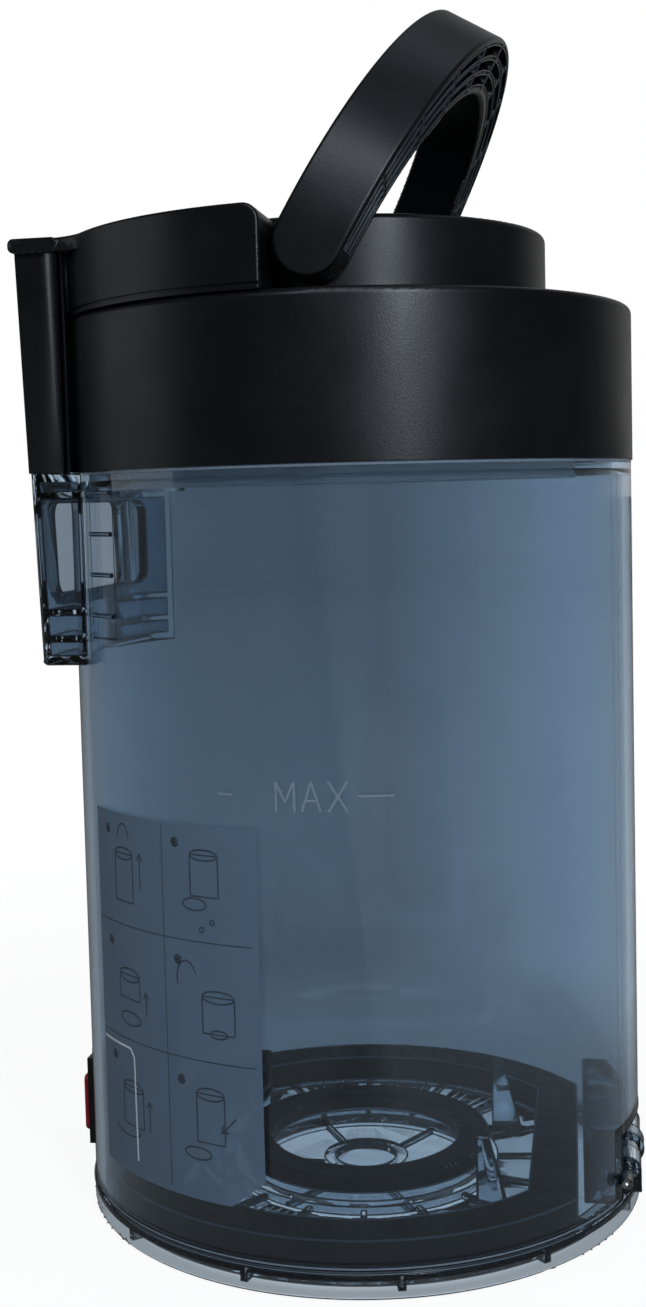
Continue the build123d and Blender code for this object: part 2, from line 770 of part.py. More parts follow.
with BuildPart() as bottom_lid:
    revolve(ring_of_revolution(rim_outline), axis=Axis.Z)
    foot_edge = bottom_lid.edges().filter_by(GeomType.CIRCLE).group_by(Axis.Z)[0].sort_by(SortBy.RADIUS)[-1]
    fillet(foot_edge, lid_edge)
    with BuildSketch(Plane.XY.offset(lid_floor_bottom)) as floor_disc:
        Circle(lid_rim_inner + plug_wall / 2)
    extrude(amount=lid_floor)
    rib_inner = (lid_rim_inner + lid_channel_inner) / 2
    rib_width = lid_radius - lid_rim_wall / 2 - rib_inner
    with BuildSketch(Plane.XY.offset(lid_floor_top)) as rim_ribs:
        with PolarLocations(rib_inner + rib_width / 2, lid_rim_ribs, start_angle=lid_rim_rib_first):
            Rectangle(rib_width, lid_rim_rib)
    extrude(amount=-lid_floor)
    extrude(flatted(plug_radius, plug_flat, lid_floor_top), amount=plug_height)
    extrude(
        flatted(plug_radius - plug_wall, plug_flat - plug_wall, lid_floor_top),
        amount=plug_height,
        mode=Mode.SUBTRACT,
    )
    with BuildSketch(Plane.XY.offset(lid_floor_top)) as plug_rib_plan:
        with PolarLocations(rib_outer / 2, plug_ribs, start_angle=lid_rim_rib_first):
            Rectangle(rib_outer, plug_rib)
        Rectangle(2 * plug_flat - plug_wall, 2 * plug_radius, mode=Mode.INTERSECT)
    extrude(amount=plug_height)
    extrude(flatted(plug_inner_radius, plug_inner_flat, lid_floor_top), amount=plug_height)
    extrude(
        flatted(plug_inner_radius - plug_wall, plug_inner_flat - plug_wall, lid_floor_top),
        amount=plug_height,
        mode=Mode.SUBTRACT,
    )
    with BuildSketch(Plane.XY.offset(lid_floor_top)) as floor_rib_plan:
        with PolarLocations(plug_inner_radius / 2, floor_ribs, start_angle=lid_rim_rib_first / 2):
            Rectangle(plug_inner_radius, floor_rib)
        Rectangle(2 * plug_inner_flat - plug_wall, 2 * plug_radius, mode=Mode.INTERSECT)
    extrude(amount=floor_rib_height)
    with BuildSketch() as pan_step:
        Circle(ring_step_radius)
    extrude(amount=ring_step_top)
    with BuildSketch() as ring_core:
        Circle(ring_wall_outer)
    extrude(amount=ring_wall_top)
    with BuildSketch(Plane.XY.offset(lid_floor)) as ring_room:
        Circle(ring_wall_outer - ring_wall)
    extrude(amount=ring_wall_top - lid_floor, mode=Mode.SUBTRACT)
    with BuildSketch(Plane.XY.offset(lid_floor)) as spoke_plan:
        with PolarLocations(ring_wall_outer / 2, boss_spokes):
            Rectangle(ring_wall_outer - ring_wall / 2, floor_rib)
    extrude(amount=floor_rib_height)
    with BuildSketch() as boss_plan:
        Circle(boss_radius)
    extrude(amount=boss_top)
    with BuildSketch(Plane.XY.offset(boss_top)) as boss_dish:
        Circle(boss_radius - boss_rim)
    extrude(amount=-boss_dish_depth, mode=Mode.SUBTRACT)
    for x_side in (-1, 1):
        for y_side in (-1, 1):
            with BuildSketch(Plane.XZ.offset(-y_side * fin_y)) as fin:
                with BuildLine():
                    Polyline(
                        (x_side * fin_x, lid_floor_top),
                        (x_side * (fin_x + fin_length), lid_floor_top),
                        (x_side * (fin_x + fin_crest), fin_top),
                        (x_side * fin_x, fin_top),
                        close=True,
                    )
                make_face()
            extrude(amount=fin_thickness / 2, both=True)
    for y_side in (-1, 1):
        with BuildSketch(Plane.XZ.offset(-y_side * (knuckle_inner + knuckle_half))) as knuckle:
            with Locations((hinge_x, (hinge_z + lid_rim_height) / 2)):
                Rectangle(2 * knuckle_radius, hinge_z - lid_rim_height)
            with Locations((hinge_x, hinge_z)):
                Circle(knuckle_radius)
                Circle(hinge_pin_radius + running_gap, mode=Mode.SUBTRACT)
        extrude(amount=knuckle_half, both=True)
    with BuildSketch(Plane.XZ) as catch:
        with BuildLine():
            Polyline(
                (-catch_inner, lid_rim_height - lid_floor),
                (-catch_inner, catch_top),
                (-catch_outer, catch_top),
                (-catch_reach, catch_ledge + catch_wall - catch_barb),
                (-catch_reach, catch_ledge),
                (-catch_outer, catch_ledge),
                (-catch_outer, lid_rim_height - lid_floor),
                close=True,
            )
        make_face()
    extrude(amount=catch_half_width, both=True)
save(bottom_lid, "bottom_lid")

# Rubber on the lid: channel seal over both plug walls with an outer flange, and the centre ring
seal_bottom = lid_rim_height
skirt_radius = plug_radius + seal_skirt
skirt_flat = plug_flat + seal_skirt
inner_skirt_radius = plug_inner_radius - plug_wall
inner_skirt_flat = plug_inner_flat - plug_wall

with BuildPart() as lid_seal:
    extrude(flatted(skirt_radius, skirt_flat, seal_bottom), amount=plug_top + seal_top - seal_bottom)
    extrude(flatted(skirt_radius + seal_flange, skirt_flat, seal_bottom), amount=bin_bottom - seal_bottom)
    extrude(
        flatted(plug_radius, plug_flat, seal_bottom),
        amount=plug_top - seal_bottom,
        mode=Mode.SUBTRACT,
    )
    extrude(flatted(inner_skirt_radius, inner_skirt_flat, seal_bottom), amount=plug_top - seal_bottom)
    extrude(
        flatted(inner_skirt_radius - seal_skirt, inner_skirt_flat - seal_skirt, seal_bottom),
        amount=plug_top + seal_top - seal_bottom,
        mode=Mode.SUBTRACT,
    )
save(lid_seal, "lid_seal")

with BuildPart() as ring_gasket:
    with BuildSketch(Plane.XY.offset(ring_wall_top)) as gasket_plan:
        Circle(gasket_outer)
        Circle(gasket_inner, mode=Mode.SUBTRACT)
    extrude(amount=gasket_top - ring_wall_top)
    fillet(ring_gasket.edges().filter_by(GeomType.CIRCLE).group_by(Axis.Z)[-1], ring_wall / 3)
save(ring_gasket, "ring_gasket")

with BuildPart() as hinge_pin:
    with BuildSketch(Plane.XZ) as hinge_pin_plan:
        with Locations((hinge_x, hinge_z)):
            Circle(hinge_pin_radius)
    extrude(amount=hinge_pin_half, both=True)
save(hinge_pin, "hinge_pin")

# Latch: lever with pivot lug and hook nose, red button on its plate, pin and leaf spring
with BuildPart() as latch_lever:
    with BuildSketch(Plane.XZ) as lever_plan:
        with Locations((-(lever_plate_inner + lever_plate / 2), (lever_bottom + lever_top) / 2)):
            Rectangle(lever_plate, lever_top - lever_bottom)
        with Locations((-(latch_pin_x + lever_plate_inner) / 2, latch_pin_z)):
            Rectangle(lever_plate_inner - latch_pin_x, 2 * lever_lug_radius)
        with Locations((-latch_pin_x, latch_pin_z)):
            Circle(lever_lug_radius)
        with BuildLine():
            Polyline(
                (-lever_plate_inner, nose_bottom),
                (-nose_reach - lever_plate / 2, nose_bottom),
                (-nose_reach, nose_bottom + lever_plate / 2),
                (-nose_reach, nose_top),
                (-lever_plate_inner, nose_top),
                close=True,
            )
        make_face()
        with Locations((-latch_pin_x, latch_pin_z)):
            Circle(latch_pin_radius + running_gap, mode=Mode.SUBTRACT)
    extrude(amount=lever_half_width, both=True)
save(latch_lever, "latch_lever")

with BuildPart() as release_button:
    button_plane = Plane(origin=(-lever_plate_outer, 0, 0), x_dir=(0, -1, 0), z_dir=(-1, 0, 0))
    with BuildSketch(button_plane) as button_plan:
        with Locations((0, (button_bottom + button_top) / 2)):
            RectangleRounded(2 * button_half_width, button_top - button_bottom, 2 * button_edge)
    extrude(amount=button_height)
    fillet(release_button.faces().sort_by(Axis.X)[0].edges(), button_edge)
save(release_button, "release_button")

with BuildPart() as latch_pin:
    with BuildSketch(Plane.XZ) as latch_pin_plan:
        with Locations((-latch_pin_x, latch_pin_z)):
            Circle(latch_pin_radius)
    extrude(amount=latch_pin_half, both=True)
save(latch_pin, "latch_pin")

spring_root_x = pocket_inner_x + pocket_wall
spring_tip_x = lever_plate_inner - running_gap

with BuildPart() as latch_spring:
    with BuildSketch(Plane.XZ) as strip:
        with BuildLine():
            Polyline(
                (-spring_root_x, spring_bottom),
                (-spring_root_x, spring_top),
                (-spring_tip_x, spring_tip_z),
                (-spring_tip_x, spring_tip_z - spring_strip),
                (-spring_root_x - spring_strip, spring_top - 2 * spring_strip),
                (-spring_root_x - spring_strip, spring_bottom),
                close=True,
            )
        make_face()
    extrude(amount=spring_half_width, both=True)
save(latch_spring, "latch_spring")

# Label film on the bin wall, with its lower front corner cut off
label_inner = bin_radius + film_gap
label_outline = [
    (label_inner, label_bottom),
    (label_inner + label_thickness, label_bottom),
    (label_inner + label_thickness, label_top),
    (label_inner, label_top),
]

with BuildPart() as instruction_label:
    revolve(
        ring_of_revolution(label_outline).rotate(Axis.Z, label_first),
        axis=Axis.Z,
        revolution_arc=label_last - label_first,
    )
    cut_plane = Plane(
        origin=(0, 0, label_bottom),
        x_dir=(-sin(radians(label_last)), cos(radians(label_last)), 0),
        z_dir=(cos(radians(label_last)), sin(radians(label_last)), 0),
    )
    with BuildSketch(cut_plane) as corner_cut:
        with BuildLine():
            Polyline(
                (-label_cut_width, 0),
                (label_cut_width, -label_cut_height),
                (label_cut_width, label_cut_height),
                (0, label_cut_height),
                close=True,
            )
        make_face()
    extrude(amount=2 * bin_radius, mode=Mode.SUBTRACT)
save(instruction_label, "instruction_label")
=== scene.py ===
"""Clear cyclone dust bin with a folding handle, a docking collar and a hinged bottom lid."""
from math import cos, pi, radians, sin

import bmesh
import bpy
from mathutils import Matrix, Vector


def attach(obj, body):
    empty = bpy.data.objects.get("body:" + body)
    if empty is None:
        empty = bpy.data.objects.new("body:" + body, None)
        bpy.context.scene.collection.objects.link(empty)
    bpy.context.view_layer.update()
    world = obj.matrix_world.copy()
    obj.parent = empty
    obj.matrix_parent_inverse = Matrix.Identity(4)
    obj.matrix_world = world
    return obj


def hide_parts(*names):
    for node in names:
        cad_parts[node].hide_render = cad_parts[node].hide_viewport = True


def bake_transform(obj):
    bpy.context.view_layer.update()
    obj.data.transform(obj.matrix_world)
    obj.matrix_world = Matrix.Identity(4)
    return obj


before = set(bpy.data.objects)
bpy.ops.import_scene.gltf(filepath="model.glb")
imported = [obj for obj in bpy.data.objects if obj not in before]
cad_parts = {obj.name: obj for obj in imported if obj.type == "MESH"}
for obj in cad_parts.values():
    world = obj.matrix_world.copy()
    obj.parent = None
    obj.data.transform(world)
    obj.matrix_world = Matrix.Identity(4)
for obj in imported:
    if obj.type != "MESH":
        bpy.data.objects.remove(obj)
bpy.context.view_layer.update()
scene = bpy.context.scene
scene.view_settings.view_transform = "Standard"


# Studio: a pale table under a soft lamp, with a lamp above the camera, a strip lamp to its right
# and a fill lamp to its left. The table's own light is only seen and does not light the bin.
def linear(colour):
    """A hex colour of a finish, as light values."""
    parts = [int(colour[i : i + 2], 16) / 255 for i in (1, 3, 5)]
    return (*[c / 12.92 if c <= 0.04045 else ((c + 0.055) / 1.055) ** 2.4 for c in parts], 1.0)


def add_node(tree, kind, inputs=None, **settings):
    """Adds a node with its settings, and sets or links its inputs."""
    node = tree.nodes.new(kind)
    for name, value in settings.items():
        setattr(node, name, value)
    for name, value in (inputs or {}).items():
        if isinstance(value, bpy.types.NodeSocket):
            tree.links.new(value, node.inputs[name])
        else:
            node.inputs[name].default_value = value
    return node


def bare_finish(name):
    """An empty material for a finish, and its node tree."""
    finish = bpy.data.materials.new(name)
    finish.use_nodes = True
    finish.node_tree.nodes.clear()
    return finish, finish.node_tree


# The sockets of a colour mix, which share their names with others on the node.
first_colour = 6
second_colour = 7
mixed_colour = 2

# Matt paper: it catches the bin's shadow close by and fades to plain white further out. Through the
# clear walls it shows a bright pool under the bin and, further out, the same light as the room.
right_glow = {"From Min": -0.14, "From Max": 0.02, "To Min": 0.36, "To Max": 1.0}
left_glow = {"From Min": -0.27, "From Max": -0.34, "To Min": 0.36, "To Max": 0.52}
glow_start = (0.07, -0.45, 0.0)
table_paper, tree = bare_finish("matt_white_paper")
path = add_node(tree, "ShaderNodeLightPath")
place = add_node(tree, "ShaderNodeTexCoord")
length = add_node(tree, "ShaderNodeVectorMath", {0: place.outputs["Object"]}, operation="LENGTH")
reach = length.outputs["Value"]
fade = add_node(
    tree,
    "ShaderNodeMapRange",
    {"Value": reach, "From Min": 0.2, "From Max": 0.8, "To Min": 0.9, "To Max": 1.0},
)
seen = add_node(
    tree,
    "ShaderNodeMath",
    {0: path.outputs["Is Camera Ray"], 1: fade.outputs[0]},
    operation="MULTIPLY",
)
far = add_node(
    tree,
    "ShaderNodeMapRange",
    {"Value": reach, "From Min": 0.13, "From Max": 0.22, "To Min": 0.0, "To Max": 1.0},
)
near = add_node(
    tree,
    "ShaderNodeMapRange",
    {"Value": reach, "From Min": 0.063, "From Max": 0.069, "To Min": 1.0, "To Max": 0.5},
)
fan = add_node(
    tree,
    "ShaderNodeVectorMath",
    {0: place.outputs["Object"], 1: glow_start},
    operation="SUBTRACT",
)
way = add_node(tree, "ShaderNodeVectorMath", {0: fan.outputs[0]}, operation="NORMALIZE")
way = add_node(tree, "ShaderNodeSeparateXYZ", {0: way.outputs[0]})
right = add_node(tree, "ShaderNodeMapRange", {"Value": way.outputs["X"], **right_glow})
left = add_node(tree, "ShaderNodeMapRange", {"Value": way.outputs["X"], **left_glow})
side = add_node(tree, "ShaderNodeMath", {0: right.outputs[0], 1: left.outputs[0]}, operation="MAXIMUM")
pool = add_node(
    tree,
    "ShaderNodeMix",
    {"Factor": far.outputs[0], "A": near.outputs[0], "B": side.outputs[0]},
    data_type="FLOAT",
)
through = add_node(
    tree,
    "ShaderNodeMath",
    {0: path.outputs["Is Transmission Ray"], 1: pool.outputs[0]},
    operation="MULTIPLY",
)
mirrored = add_node(tree, "ShaderNodeMath", {0: path.outputs["Is Glossy Ray"], 1: 0.05}, operation="MULTIPLY")
glow = add_node(tree, "ShaderNodeMath", {0: seen.outputs[0], 1: through.outputs[0]}, operation="MAXIMUM")
glow = add_node(tree, "ShaderNodeMath", {0: glow.outputs[0], 1: mirrored.outputs[0]}, operation="MAXIMUM")
away = add_node(
    tree,
    "ShaderNodeMapRange",
    {"Value": reach, "From Min": 0.8, "From Max": 3.0, "To Min": 0.0, "To Max": 1.0},
)
grey = add_node(
    tree,
    "ShaderNodeMix",
    {0: away.outputs[0], first_colour: linear("#707070"), second_colour: linear("#000000")},
    data_type="RGBA",
)
matt = add_node(tree, "ShaderNodeBsdfDiffuse", {"Color": grey.outputs[mixed_colour]})
lit = add_node(tree, "ShaderNodeEmission", {"Color": linear("#ffffff"), "Strength": glow.outputs[0]})
both = add_node(tree, "ShaderNodeAddShader", {0: matt.outputs[0], 1: lit.outputs[0]})
add_node(tree, "ShaderNodeOutputMaterial", {"Surface": both.outputs[0]})

table_half = 60.0
table_corners = [(x * table_half, y * table_half, 0.0) for x, y in ((-1, -1), (1, -1), (1, 1), (-1, 1))]
table_mesh = bpy.data.meshes.new("table")
table_mesh.from_pydata(table_corners, [], [(0, 1, 2, 3)])
table = bpy.data.objects.new("table", table_mesh)
scene.collection.objects.link(table)
table_mesh.materials.append(table_paper)

# The room is white to the eye. Through the clear walls it is bright round the level, most to the
# right, and dark above and below, and in reflections only the wall behind the bin is bright.
room = bpy.data.worlds.new("white_room")
room.use_nodes = True
tree = room.node_tree
tree.nodes.clear()
path = add_node(tree, "ShaderNodeLightPath")
way = add_node(tree, "ShaderNodeTexCoord")
way = add_node(tree, "ShaderNodeSeparateXYZ", {0: way.outputs["Generated"]})
steep = add_node(tree, "ShaderNodeMath", {0: way.outputs["Z"]}, operation="ABSOLUTE")
level = add_node(
    tree,
    "ShaderNodeMapRange",
    {"Value": steep.outputs[0], "From Min": 0.3, "From Max": 0.6, "To Min": 1.0, "To Max": 0.15},
)
right = add_node(tree, "ShaderNodeMapRange", {"Value": way.outputs["X"], **right_glow})
left = add_node(tree, "ShaderNodeMapRange", {"Value": way.outputs["X"], **left_glow})
side = add_node(tree, "ShaderNodeMath", {0: right.outputs[0], 1: left.outputs[0]}, operation="MAXIMUM")
bright = add_node(tree, "ShaderNodeMath", {0: side.outputs[0], 1: level.outputs[0]}, operation="MULTIPLY")
through = add_node(
    tree,
    "ShaderNodeMath",
    {0: path.outputs["Is Transmission Ray"], 1: bright.outputs[0]},
    operation="MULTIPLY",
)
back = add_node(
    tree,
    "ShaderNodeMapRange",
    {"Value": way.outputs["Y"], "From Min": 0.5, "From Max": 0.95, "To Min": 0.04, "To Max": 0.36},
)
mirrored = add_node(
    tree,
    "ShaderNodeMath",
    {0: path.outputs["Is Glossy Ray"], 1: back.outputs[0]},
    operation="MULTIPLY",
)
soft = add_node(tree, "ShaderNodeMath", {0: path.outputs["Is Diffuse Ray"], 1: 0.3}, operation="MULTIPLY")
strength = path.outputs["Is Camera Ray"]
for share in (through, mirrored, soft):
    most = add_node(tree, "ShaderNodeMath", {0: strength, 1: share.outputs[0]}, operation="MAXIMUM")
    strength = most.outputs[0]
white = add_node(tree, "ShaderNodeBackground", {"Color": linear("#ffffff"), "Strength": strength})
add_node(tree, "ShaderNodeOutputWorld", {"Surface": white.outputs[0]})
scene.world = room


def soft_lamp(name, place, aim, width, height, watts):
    """A square-faced lamp that looks at a point."""
    lamp = bpy.data.lights.new(name, "AREA")
    lamp.shape = "RECTANGLE"
    lamp.size = width
    lamp.size_y = height
    lamp.energy = watts
    lamp.color = linear("#dde9f5")[:3]
    holder = bpy.data.objects.new(name, lamp)
    scene.collection.objects.link(holder)
    holder.location = place
    holder.rotation_euler = (Vector(aim) - Vector(place)).to_track_quat("-Z", "Y").to_euler()
    return holder


soft_lamp("overhead_lamp", place=(0.3, 0.2, 1.5), aim=(0.0, 0.0, 0.15), width=0.7, height=0.7, watts=0.8)
soft_lamp("front_lamp", place=(0.0, -1.0, 1.1), aim=(0.0, 0.0, 0.27), width=0.5, height=0.3, watts=2.8)
soft_lamp("fill_lamp", place=(-1.3, -0.2, 0.45), aim=(0.0, 0.0, 0.25), width=0.9, height=0.5, watts=1.0)
strip_lamp = soft_lamp(
    "strip_lamp", place=(0.62, -1.05, 0.75), aim=(0.0, 0.0, 0.75), width=0.14, height=0.8, watts=9.0
)
# The strip makes its highlights on the outside only. Bent through the neck it would be a stray spot.
strip_lamp.visible_transmission = False

# The camera's place, turn and lens, in pixels of the photograph and degrees.
photo_width = 646
photo_height = 1307
focal_length = 1666.84
axis_across = 312.09
axis_down = 625.76
sensor_size = 36.0
camera_turn = 10.40
camera_tilt = 85.67
camera_roll = -1.455
camera_place = (0.07052, -0.44725, 0.18816)
camera_data = bpy.data.cameras.new("camera")
camera_data.sensor_width = sensor_size
camera_data.lens = focal_length / photo_height * sensor_size
camera_data.shift_x = (photo_width / 2 - axis_across) / photo_height
camera_data.shift_y = (axis_down - photo_height / 2) / photo_height
camera = bpy.data.objects.new("camera", camera_data)
scene.collection.objects.link(camera)
camera.matrix_world = (
    Matrix.Translation(camera_place)
    @ Matrix.Rotation(radians(camera_turn), 4, "Z")
    @ Matrix.Rotation(radians(camera_tilt), 4, "X")
    @ Matrix.Rotation(radians(camera_roll), 4, "Z")
)
scene.camera = camera


# Bin shell: a tall clear cup with the inlet duct and two pockets in one piece, injection moulded
# in smoky SAN (a clear styrene plastic) in a polished tool. The collar is pressed on its neck.
def moulded_copy(node, name):
    """A merged copy of a solid's mesh with true round walls, smooth shading and crisp creases."""
    weld_gap = 2e-6
    sharp_bend = radians(32)
    least_radius = 0.015
    round_error = 2e-5
    facing_out = cos(radians(5))
    shape = bmesh.new()
    shape.from_mesh(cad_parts[node].data)
    bmesh.ops.remove_doubles(shape, verts=shape.verts, dist=weld_gap)
    mesh = bpy.data.meshes.new(name)
    shape.to_mesh(mesh)
    shape.free()
    mesh.shade_smooth()
    mesh.set_sharp_from_angle(angle=sharp_bend)
    piece = bpy.data.objects.new(name, mesh)
    scene.collection.objects.link(piece)
    even = piece.modifiers.new("even_walls", "WEIGHTED_NORMAL")
    even.keep_sharp = True
    bpy.context.view_layer.update()
    smooth = bpy.data.meshes.new_from_object(piece.evaluated_get(bpy.context.evaluated_depsgraph_get()))
    smooth.name = name
    normals = [Vector(corner.vector) for corner in smooth.corner_normals]
    for face in smooth.polygons:
        spots = [smooth.vertices[k].co.to_2d() for k in face.vertices]
        reaches = [spot.length for spot in spots]
        if min(reaches) < least_radius or max(reaches) - min(reaches) > round_error:
            continue
        facing = [face.normal.to_2d().dot(spot) / spot.length for spot in spots]
        if min(abs(value) for value in facing) > facing_out:
            for corner, spot, value in zip(face.loop_indices, spots, facing):
                normals[corner] = (spot.normalized() * (1 if value > 0 else -1)).to_3d()
    smooth.normals_split_custom_set(normals)
    piece.modifiers.clear()
    piece.data = smooth
    smooth.materials.clear()
    return piece


def dress(node, name, body, finish):
    """Puts a smooth copy with its finish in the place of a solid."""
    piece = moulded_copy(node, name)
    piece.data.materials.append(finish)
    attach(piece, body)
    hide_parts(node)


def clear_finish(name, colours, flow_size=None):
    """Polished clear plastic in two close tints, smeared by fingers, with flow ripples if it is tall."""
    finish, tree = bare_finish(name)
    place = add_node(tree, "ShaderNodeTexCoord").outputs["Object"]
    smear_size = 0.018
    smear = add_node(tree, "ShaderNodeTexNoise", {"Vector": place, "Scale": 1 / smear_size, "Detail": 4.0})
    haze = add_node(
        tree,
        "ShaderNodeMapRange",
        {"Value": smear.outputs[0], "From Min": 0.45, "From Max": 0.75, "To Min": 0.015, "To Max": 0.05},
    )
    tint = add_node(
        tree,
        "ShaderNodeMix",
        {0: smear.outputs[0], first_colour: linear(colours[0]), second_colour: linear(colours[1])},
        data_type="RGBA",
    )
    looks = {"Base Color": tint.outputs[mixed_colour], "Roughness": haze.outputs[0]}
    if flow_size:
        flow = add_node(tree, "ShaderNodeTexNoise", {"Vector": place, "Scale": 1 / flow_size, "Detail": 1.0})
        ripple = add_node(
            tree,
            "ShaderNodeBump",
            {"Strength": 0.1, "Distance": 0.0001, "Height": flow.outputs[0]},
        )
        looks["Normal"] = ripple.outputs[0]
    clear = add_node(tree, "ShaderNodeBsdfPrincipled", {"IOR": 1.57, "Transmission Weight": 1.0, **looks})
    add_node(tree, "ShaderNodeOutputMaterial", {"Surface": clear.outputs[0]})
    return finish


# Smoky polished SAN: glassy and blue-grey, with slow ripples from the melt's flow and faint smears.
smoky_san = clear_finish("smoky_clear_san_polished", ("#98adbf", "#a2b6c7"), flow_size=0.03)
dress("bin_shell", "clear_bin", "bin", smoky_san)


# Edges of the clear mouldings: light that runs inside the walls comes out elsewhere, so every edge
# of the smoky plastic looks dark. That dark is painted shade: a fine round near-black bead along each of the
# moulding's own corners.
def patchy_finish(name, colours, patch_size, detail, looks, rough=None, grain=None):
    """A finish in soft patches of two colours, with a range of gloss and a grain's size and depth, if any."""
    finish, tree = bare_finish(name)
    place = add_node(tree, "ShaderNodeTexCoord").outputs["Object"]
    tone = add_node(tree, "ShaderNodeTexNoise", {"Vector": place, "Scale": 1 / patch_size, "Detail": detail})
    shade = add_node(
        tree,
        "ShaderNodeMix",
        {0: tone.outputs[0], first_colour: linear(colours[0]), second_colour: linear(colours[1])},
        data_type="RGBA",
    )
    looks = {"Base Color": shade.outputs[mixed_colour], **looks}
    if rough:
        smooth, dull = rough
        worn = add_node(
            tree,
            "ShaderNodeMapRange",
            {"Value": tone.outputs[0], "From Min": 0.3, "From Max": 0.7, "To Min": smooth, "To Max": dull},
        )
        looks["Roughness"] = worn.outputs[0]
    if grain:
        size, depth = grain
        fine = add_node(tree, "ShaderNodeTexNoise", {"Vector": place, "Scale": 1 / size, "Detail": 2.0})
        pebble = add_node(
            tree,
            "ShaderNodeBump",
            {"Strength": 0.3, "Distance": depth, "Height": fine.outputs[0]},
        )
        looks["Normal"] = pebble.outputs[0]
    skin = add_node(tree, "ShaderNodeBsdfPrincipled", looks)
    add_node(tree, "ShaderNodeOutputMaterial", {"Surface": skin.outputs[0]})
    return finish


def node_group(name, sockets):
    """An empty geometry tree with its named inputs and one geometry output."""
    group = bpy.data.node_groups.new(name, "GeometryNodeTree")
    for label, kind in sockets:
        group.interface.new_socket(label, in_out="INPUT", socket_type=kind)
    group.interface.new_socket("Geometry", in_out="OUTPUT", socket_type="NodeSocketGeometry")
    return group, add_node(group, "NodeGroupInput").outputs


def made_of_nodes(name, group, start, values):
    """The plain mesh that a geometry tree makes with the given sizes."""
    piece = bpy.data.objects.new(name, start)
    scene.collection.objects.link(piece)
    maker = piece.modifiers.new("maker", "NODES")
    maker.node_group = group
    for item in group.interface.items_tree:
        if item.name in values and item.in_out == "INPUT":
            maker[item.identifier] = values[item.name]
    bpy.context.view_layer.update()
    made = bpy.data.meshes.new_from_object(piece.evaluated_get(bpy.context.evaluated_depsgraph_get()))
    piece.modifiers.clear()
    piece.data = made
    made.name = name
    return piece


edge_tree, size = node_group(
    "edge_beads",
    (
        ("Geometry", "NodeSocketGeometry"),
        ("Corner", "NodeSocketFloat"),
        ("Top", "NodeSocketFloat"),
        ("Radius", "NodeSocketFloat"),
        ("Finish", "NodeSocketMaterial"),
    ),
)
bend = add_node(edge_tree, "GeometryNodeInputMeshEdgeAngle")
sharp = add_node(
    edge_tree,
    "ShaderNodeMath",
    {0: bend.outputs["Unsigned Angle"], 1: size["Corner"]},
    operation="GREATER_THAN",
)
spot = add_node(edge_tree, "GeometryNodeInputPosition")
spot = add_node(edge_tree, "ShaderNodeSeparateXYZ", {0: spot.outputs[0]})
below = add_node(edge_tree, "ShaderNodeMath", {0: spot.outputs["Z"], 1: size["Top"]}, operation="LESS_THAN")
drawn = add_node(
    edge_tree,
    "ShaderNodeMath",
    {0: sharp.outputs[0], 1: below.outputs[0]},
    operation="MULTIPLY",
)
path = add_node(
    edge_tree,
    "GeometryNodeMeshToCurve",
    {"Mesh": size["Geometry"], "Selection": drawn.outputs[0]},
)
nib = add_node(edge_tree, "GeometryNodeCurvePrimitiveCircle", {"Resolution": 5, "Radius": size["Radius"]})
bead = add_node(
    edge_tree,
    "GeometryNodeCurveToMesh",
    {"Curve": path.outputs[0], "Profile Curve": nib.outputs[0], "Fill Caps": True},
)
bead = add_node(edge_tree, "GeometryNodeRealizeInstances", {"Geometry": bead.outputs[0]})
bead = add_node(
    edge_tree,
    "GeometryNodeSetMaterial",
    {"Geometry": bead.outputs[0], "Material": size["Finish"]},
)
add_node(edge_tree, "NodeGroupOutput", {"Geometry": bead.outputs[0]})


def edge_beads(node, name, body, radius, finish, top=1.0):
    """Fine beads along the corners of a solid, up to a height."""
    corners = moulded_copy(node, name + "_corners")
    solid = corners.data
    bpy.data.objects.remove(corners)
    sizes = {"Corner": radians(35), "Top": top, "Radius": radius, "Finish": finish}
    piece = made_of_nodes(name, edge_tree, solid, sizes)
    piece.data.shade_smooth()
    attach(piece, body)


# Painted shade for the clear edges: deep smoky plastic, the tint as if seen along the wall instead of across
# it, so nearly black.
painted_edge_shade = patchy_finish(
    "smoky_san_painted_edge_shade",
    ("#111a23", "#273644"),
    patch_size=0.012,
    detail=3.0,
    looks={"Roughness": 0.15, "IOR": 1.57, "Alpha": 0.7},
)
# The painted edge shade stops at the neck's foot, where the shoulder's painted highlight takes over.
neck_foot = 0.1905
wall_edge = 0.0002
edge_beads("bin_shell", "clear_bin_edges", "bin", wall_edge, painted_edge_shade, neck_foot)


# Fill mark and mould line: the word MAX with its level line, sandblasted into the polished tool so
# that it comes out frosted, and the thin pale line where the two halves of the tool meet.
# Each is a stroke along a path, pressed almost flat against the round wall.
stroke_tree, size = node_group(
    "wall_strokes",
    (
        ("Geometry", "NodeSocketGeometry"),
        ("Wall", "NodeSocketFloat"),
        ("Width", "NodeSocketFloat"),
        ("Step", "NodeSocketFloat"),
        ("Proud", "NodeSocketFloat"),
        ("Finish", "NodeSocketMaterial"),
    ),
)
path = add_node(stroke_tree, "GeometryNodeMeshToCurve", {"Mesh": size["Geometry"]})
path = add_node(
    stroke_tree,
    "GeometryNodeResampleCurve",
    {"Curve": path.outputs[0], "Length": size["Step"]},
    mode="LENGTH",
)
half = add_node(stroke_tree, "ShaderNodeMath", {0: size["Width"], 1: 0.5}, operation="MULTIPLY")
nib = add_node(stroke_tree, "GeometryNodeCurvePrimitiveCircle", {"Resolution": 8, "Radius": half.outputs[0]})
line = add_node(
    stroke_tree,
    "GeometryNodeCurveToMesh",
    {"Curve": path.outputs[0], "Profile Curve": nib.outputs[0], "Fill Caps": True},
)
spot = add_node(stroke_tree, "GeometryNodeInputPosition")
spot = add_node(stroke_tree, "ShaderNodeSeparateXYZ", {0: spot.outputs[0]})
